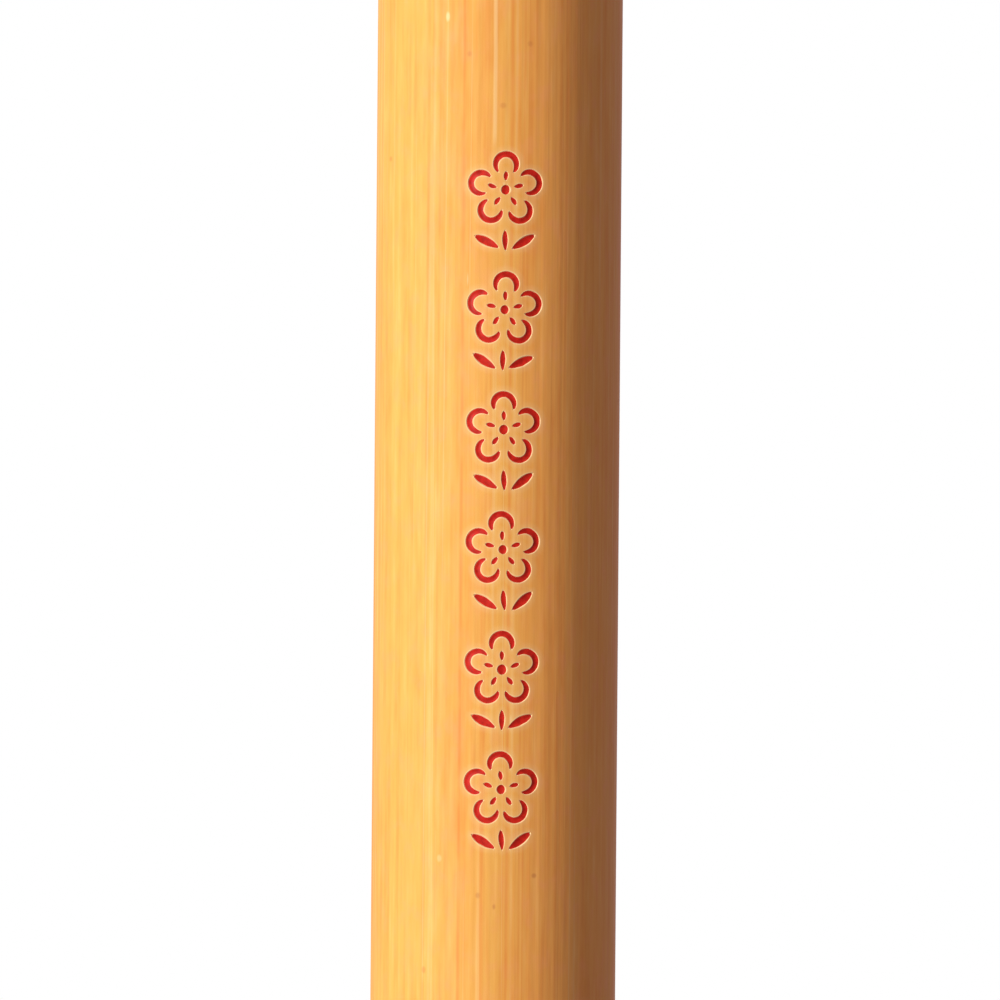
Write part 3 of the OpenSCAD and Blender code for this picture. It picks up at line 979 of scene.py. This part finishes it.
def strands(name, count, start, ends, layer, width, material, seed, steps=12, crowd=0.0, flare=0.0):
    """Single hairs from a start to their ends, drawn together into locks towards the point.
    Their points crowd round the share of the way where the tuft bends."""
    rng = np.random.RandomState(seed)
    turn = rng.uniform(0, TAU, count)
    end = ends(rng, count)
    share = rng.uniform(*layer, size=count)
    locks, wander, crowding = 26, 0.05, 0.4
    lock = (np.round(turn / TAU * locks + rng.normal(0, 0.25, count)) / locks) * TAU
    t = np.linspace(0, 1, steps)[None, :]
    u = t - crowding / TAU * (np.sin(TAU * (t - crowd)) + math.sin(TAU * crowd))
    s = start + (end[:, None] - start) * u
    near = np.clip(s / TUFT_LEN, 0, 1)
    pull = 0.75 * near ** 2
    drift = wander * (np.sin(TAU * (0.7 * u + rng.uniform(size=(count, 1)))) * rng.normal(size=(count, 1)))
    angle = turn[:, None] * (1 - pull) + lock[:, None] * pull + drift
    stray = flare * np.abs(rng.standard_t(3, size=(count, 1))) * u ** 4
    r = tuft_r(s) * share[:, None] + stray + 0.03
    centre, outward = placed(r, angle, MOUTH - s), placed(1, angle, 0)
    sideways = np.stack([np.cos(angle), np.sin(angle), 0 * angle], -1)
    thick = width * rng.uniform(0.75, 1.25, (count, 1)) / 2
    thick = thick * (0.75 + 0.25 * np.sin(math.pi * np.minimum(1, u * 1.4))) * (1 - 0.85 * u ** 3)
    corners = [
        centre + thick[..., None] * (math.cos(a) * outward + math.sin(a) * sideways) for a in even_turns(3)
    ]
    points = np.stack(corners, axis=2).reshape(-1, 3)
    first = np.arange(count)[:, None] * steps * 3
    quads = (first[..., None] + np.array(grid_faces(steps, 3))[:, [0, 3, 2, 1]]).reshape(-1, 4)
    caps = np.concatenate([first + [0, 1, 2], first + (steps - 1) * 3 + np.array([2, 1, 0])])
    piece = mesh_object(name, points, quads.tolist() + caps.tolist(), material, smooth=None)
    keep_rest_places(piece, points)
    set_attribute(piece, "along", np.clip(np.repeat(near.ravel(), 3), 0, 1))
    set_attribute(piece, "strand", np.repeat(rng.uniform(size=count), steps * 3))
    return piece


LAYERS_FROM = BEND - 1.0
COAT_INNER = 0.86       # shares of the tuft's radius
CORE_SHARE = 0.62
BELLY_TO = 0.80 * TUFT_LEN
WAIST_R = THREAD_OUT - 2 * THREAD_R - 0.03


def root_outer(s):
    """Gathered under the thread, then opened out to fill the coat."""
    middle, tall = (WAIST_TOP + WAIST_BOTTOM) / 2, WAIST_TOP - WAIST_BOTTOM
    pinch = np.exp(-((MOUTH - s - middle) / (tall * 0.62)) ** 6)
    gathered = ROOT_R - 0.02 - (ROOT_R - 0.02 - WAIST_R) * pinch
    free = tuft_r(s) * COAT_INNER - GLUE_GAP
    blend = np.clip((s + 2.0) / 1.2, 0, 1)
    return gathered * (1 - blend) + free * blend


def belly_outer(s):
    return tuft_r(s) * COAT_INNER * np.sqrt(np.clip(1 - (s / (BELLY_TO + 3)) ** 6, 0, 1)) - GLUE_GAP


def core_outer(s):
    return CORE_SHARE * belly_outer(s) - GLUE_GAP


def short_of(place, spread):
    """Ends of single hairs, each a random distance short of a place."""
    return lambda rng, count: place - np.abs(rng.normal(0, spread, count))


def hair():
    """All the layers, from the root in the ferrule to the point."""
    russet = hair_material("russet_hair", (0.36, 0.150, 0.042), (0.52, 0.235, 0.070), (0.20, 0.07, 0.02), 1)
    brown = hair_material("light_brown_hair", (0.40, 0.22, 0.09), (0.50, 0.30, 0.14), (0.34, 0.17, 0.07), 4)
    buff = hair_material("buff_hair", (0.50, 0.34, 0.18), (0.62, 0.44, 0.26), (0.52, 0.34, 0.18), 7)
    dark = hair_material("point_hair", (0.30, 0.13, 0.05), (0.27, 0.115, 0.04), (0.15, 0.055, 0.02), 9)
    made = []

    def add(piece, slot, *nodes):
        if nodes:
            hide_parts(*nodes)
        made.append(piece)

    add(bundle("root_bundle", root_outer, None, MOUTH - SEAR_BOTTOM + 0.02, LAYERS_FROM - 0.1,
               russet, 51, 0.03), "root_hair", "hair_root")
    add(bundle("coat_layer", lambda s: tuft_r(s) * 0.97, lambda s: tuft_r(s) * COAT_INNER, -1.6, LIFE_FROM,
               russet, 61, 0.06, 360, 90, ragged=0.9), "coat_hair", "coat_hairs")
    add(bundle("belly_layer", belly_outer, lambda s: core_outer(s) + GLUE_GAP, LAYERS_FROM, BELLY_TO,
               brown, 71, 0.04, ragged=0.8), "belly_hair", "belly_hairs")
    add(bundle("core_layer", core_outer, None, LAYERS_FROM, 0.74 * TUFT_LEN, buff, 81, 0.03, 220, 50, 0.6),
        "core_hair", "core_hairs")
    add(bundle("point_layer", lambda s: tuft_r(s) * 0.80, None, LIFE_FROM - 3.5, TUFT_LEN - 0.25,
               dark, 91, 0.05, 180, 40), "life_hair", "life_hairs")
    add(strands("coat_strands", 2600, -1.5, short_of(LIFE_FROM + 3.5, 4.2), (0.955, 1.005), 0.10, russet, 101,
                steps=13, crowd=0.42, flare=0.012), "coat_hair")
    add(strands("point_strands", 800, BEND, short_of(TUFT_LEN, 1.6), (0.75, 1.02), 0.065, dark, 111,
                flare=0.035), "life_hair")
    for piece in made:
        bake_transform(piece)


# ---- build ----

def build():
    strokes = carving()
    horn, bone = horn_material(), bone_material()
    pieces = [
        (bamboo(strokes, bamboo_material()), "bamboo", "bamboo_handle"),
        (lacquer(strokes, lacquer_material()), "lacquer", "carving_lacquer"),
        (tail_cap(horn), "horn", "tail_cap"),
        (bone_ring("bone_tail_ring", CAP_BOTTOM, HANDLE_TOP, TAIL_RING_R, HOLLOW_R, bone),
         "bone", "tail_ring"),
        (bone_ring("bone_mouth_ring", HANDLE_BOTTOM, FERRULE_TOP, MOUTH_RING_R, TENON_R + GLUE_GAP, bone),
         "bone", "mouth_ring"),
        (ferrule(horn), "horn", "ferrule"),
        (resin(resin_material()), "resin", "root_resin"),
        (seared_disc(seared_material()), "seared_hair", "seared_root"),
        (thread(thread_material()), "thread", "root_thread"),
    ]
    for piece, slot, node in pieces:
        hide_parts(node)
        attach(piece, "handle")
    hair()


# ---- studio ----

def floor_material():
    """Pale paint, lifted by a glow, that turns into plain white away from the brush."""
    s = Shader("pale_floor")
    flat = s.add("ShaderNodeMapping", {"Vector": s.position, "Scale": (1, 1, 0)})
    away = s.add("ShaderNodeVectorMath", {0: flat.outputs["Vector"]}, operation="LENGTH")
    colour = s.ramp(s.noise(0.02, 0.02, detail=3), [(0.4, (0.80, 0.80, 0.79)), (0.6, (0.84, 0.84, 0.83))])
    paint = s.add("ShaderNodeBsdfDiffuse", {"Color": colour})
    lift = s.add("ShaderNodeEmission", {"Strength": 0.42})
    near = s.add("ShaderNodeAddShader", {0: paint.outputs[0], 1: lift.outputs[0]})
    white = s.add("ShaderNodeEmission")
    s.show(s.add("ShaderNodeMixShader", {
        0: s.fade(away.outputs["Value"], 0.10, 0.45), 1: near.outputs[0], 2: white.outputs[0],
    }))
    return s.material


def white_surround():
    """A pale floor under the point, and a plain white surround that only the camera sees."""
    columns = 96
    radii = np.append(0.01, np.linspace(4, 1500, 40))
    points = placed(radii[:, None], even_turns(columns), TIP - 12).reshape(-1, 3)
    quads = [quad[::-1] for quad in grid_faces(len(radii), columns)]
    floor = mesh_object("floor", points, quads, floor_material(), smooth=None)

    plain = Shader("white_surround")
    plain.show(plain.add("ShaderNodeEmission"))
    bpy.ops.mesh.primitive_uv_sphere_add(segments=64, ring_count=32, radius=4.0)
    dome = bpy.context.object
    dome.name = "surround"
    dome.data.materials.append(plain.material)
    for stage in (floor, dome):
        for ray in ("diffuse", "glossy", "transmission", "volume_scatter", "shadow"):
            setattr(stage, "visible_" + ray, False)


def panel_light(name, azimuth, elevation, distance, size, power, glossy=True):
    """A soft panel aimed at the carved stretch, its azimuth in degrees to the right of the front."""
    a, e = math.radians(azimuth), math.radians(elevation)
    away = Vector((math.sin(a) * math.cos(e), -math.cos(a) * math.cos(e), math.sin(e)))
    light = bpy.data.lights.new(name, "AREA")
    light.shape = "RECTANGLE"
    light.size, light.size_y = size
    light.energy = power
    lamp = bpy.data.objects.new(name, light)
    bpy.context.scene.collection.objects.link(lamp)
    lamp.location = Vector((0, 0, -CARVING_DROP * MM)) + away * distance
    lamp.rotation_mode = "QUATERNION"
    lamp.rotation_quaternion = away.to_track_quat("Z", "Y")
    lamp.visible_camera = False
    lamp.visible_glossy = glossy


def studio():
    white_surround()
    panel_light("key", -50, 14, 1.1, (0.34, 0.9), 16.5)
    panel_light("side", -96, 6, 1.1, (0.30, 0.9), 2.0)
    panel_light("back", 165, 10, 1.2, (0.4, 0.9), 8, glossy=False)
    world = bpy.data.worlds.new("fill")
    world.use_nodes = True
    background = world.node_tree.nodes["Background"]
    background.inputs["Color"].default_value = (1.07, 0.95, 1.16, 1)
    background.inputs["Strength"].default_value = 0.25
    bpy.context.scene.world = world


def camera():
    """A long lens level with the carving, rolled a little, that takes in a short stretch of the handle."""
    shown = 44.8
    lens_mm, sensor = 135, 36
    distance = shown * lens_mm / sensor
    aim_right = 0.143
    roll = math.radians(-0.45)
    data = bpy.data.cameras.new("camera")
    data.lens, data.sensor_width = lens_mm, sensor
    data.clip_start, data.clip_end = 0.01, 10
    seen = bpy.data.objects.new("camera", data)
    bpy.context.scene.collection.objects.link(seen)
    seen.location = Vector((aim_right, -distance, -CARVING_DROP)) * MM
    seen.rotation_euler = (math.pi / 2, roll, 0)
    bpy.context.scene.camera = seen
    bpy.context.scene.view_settings.view_transform = "Standard"


build()
studio()
camera()
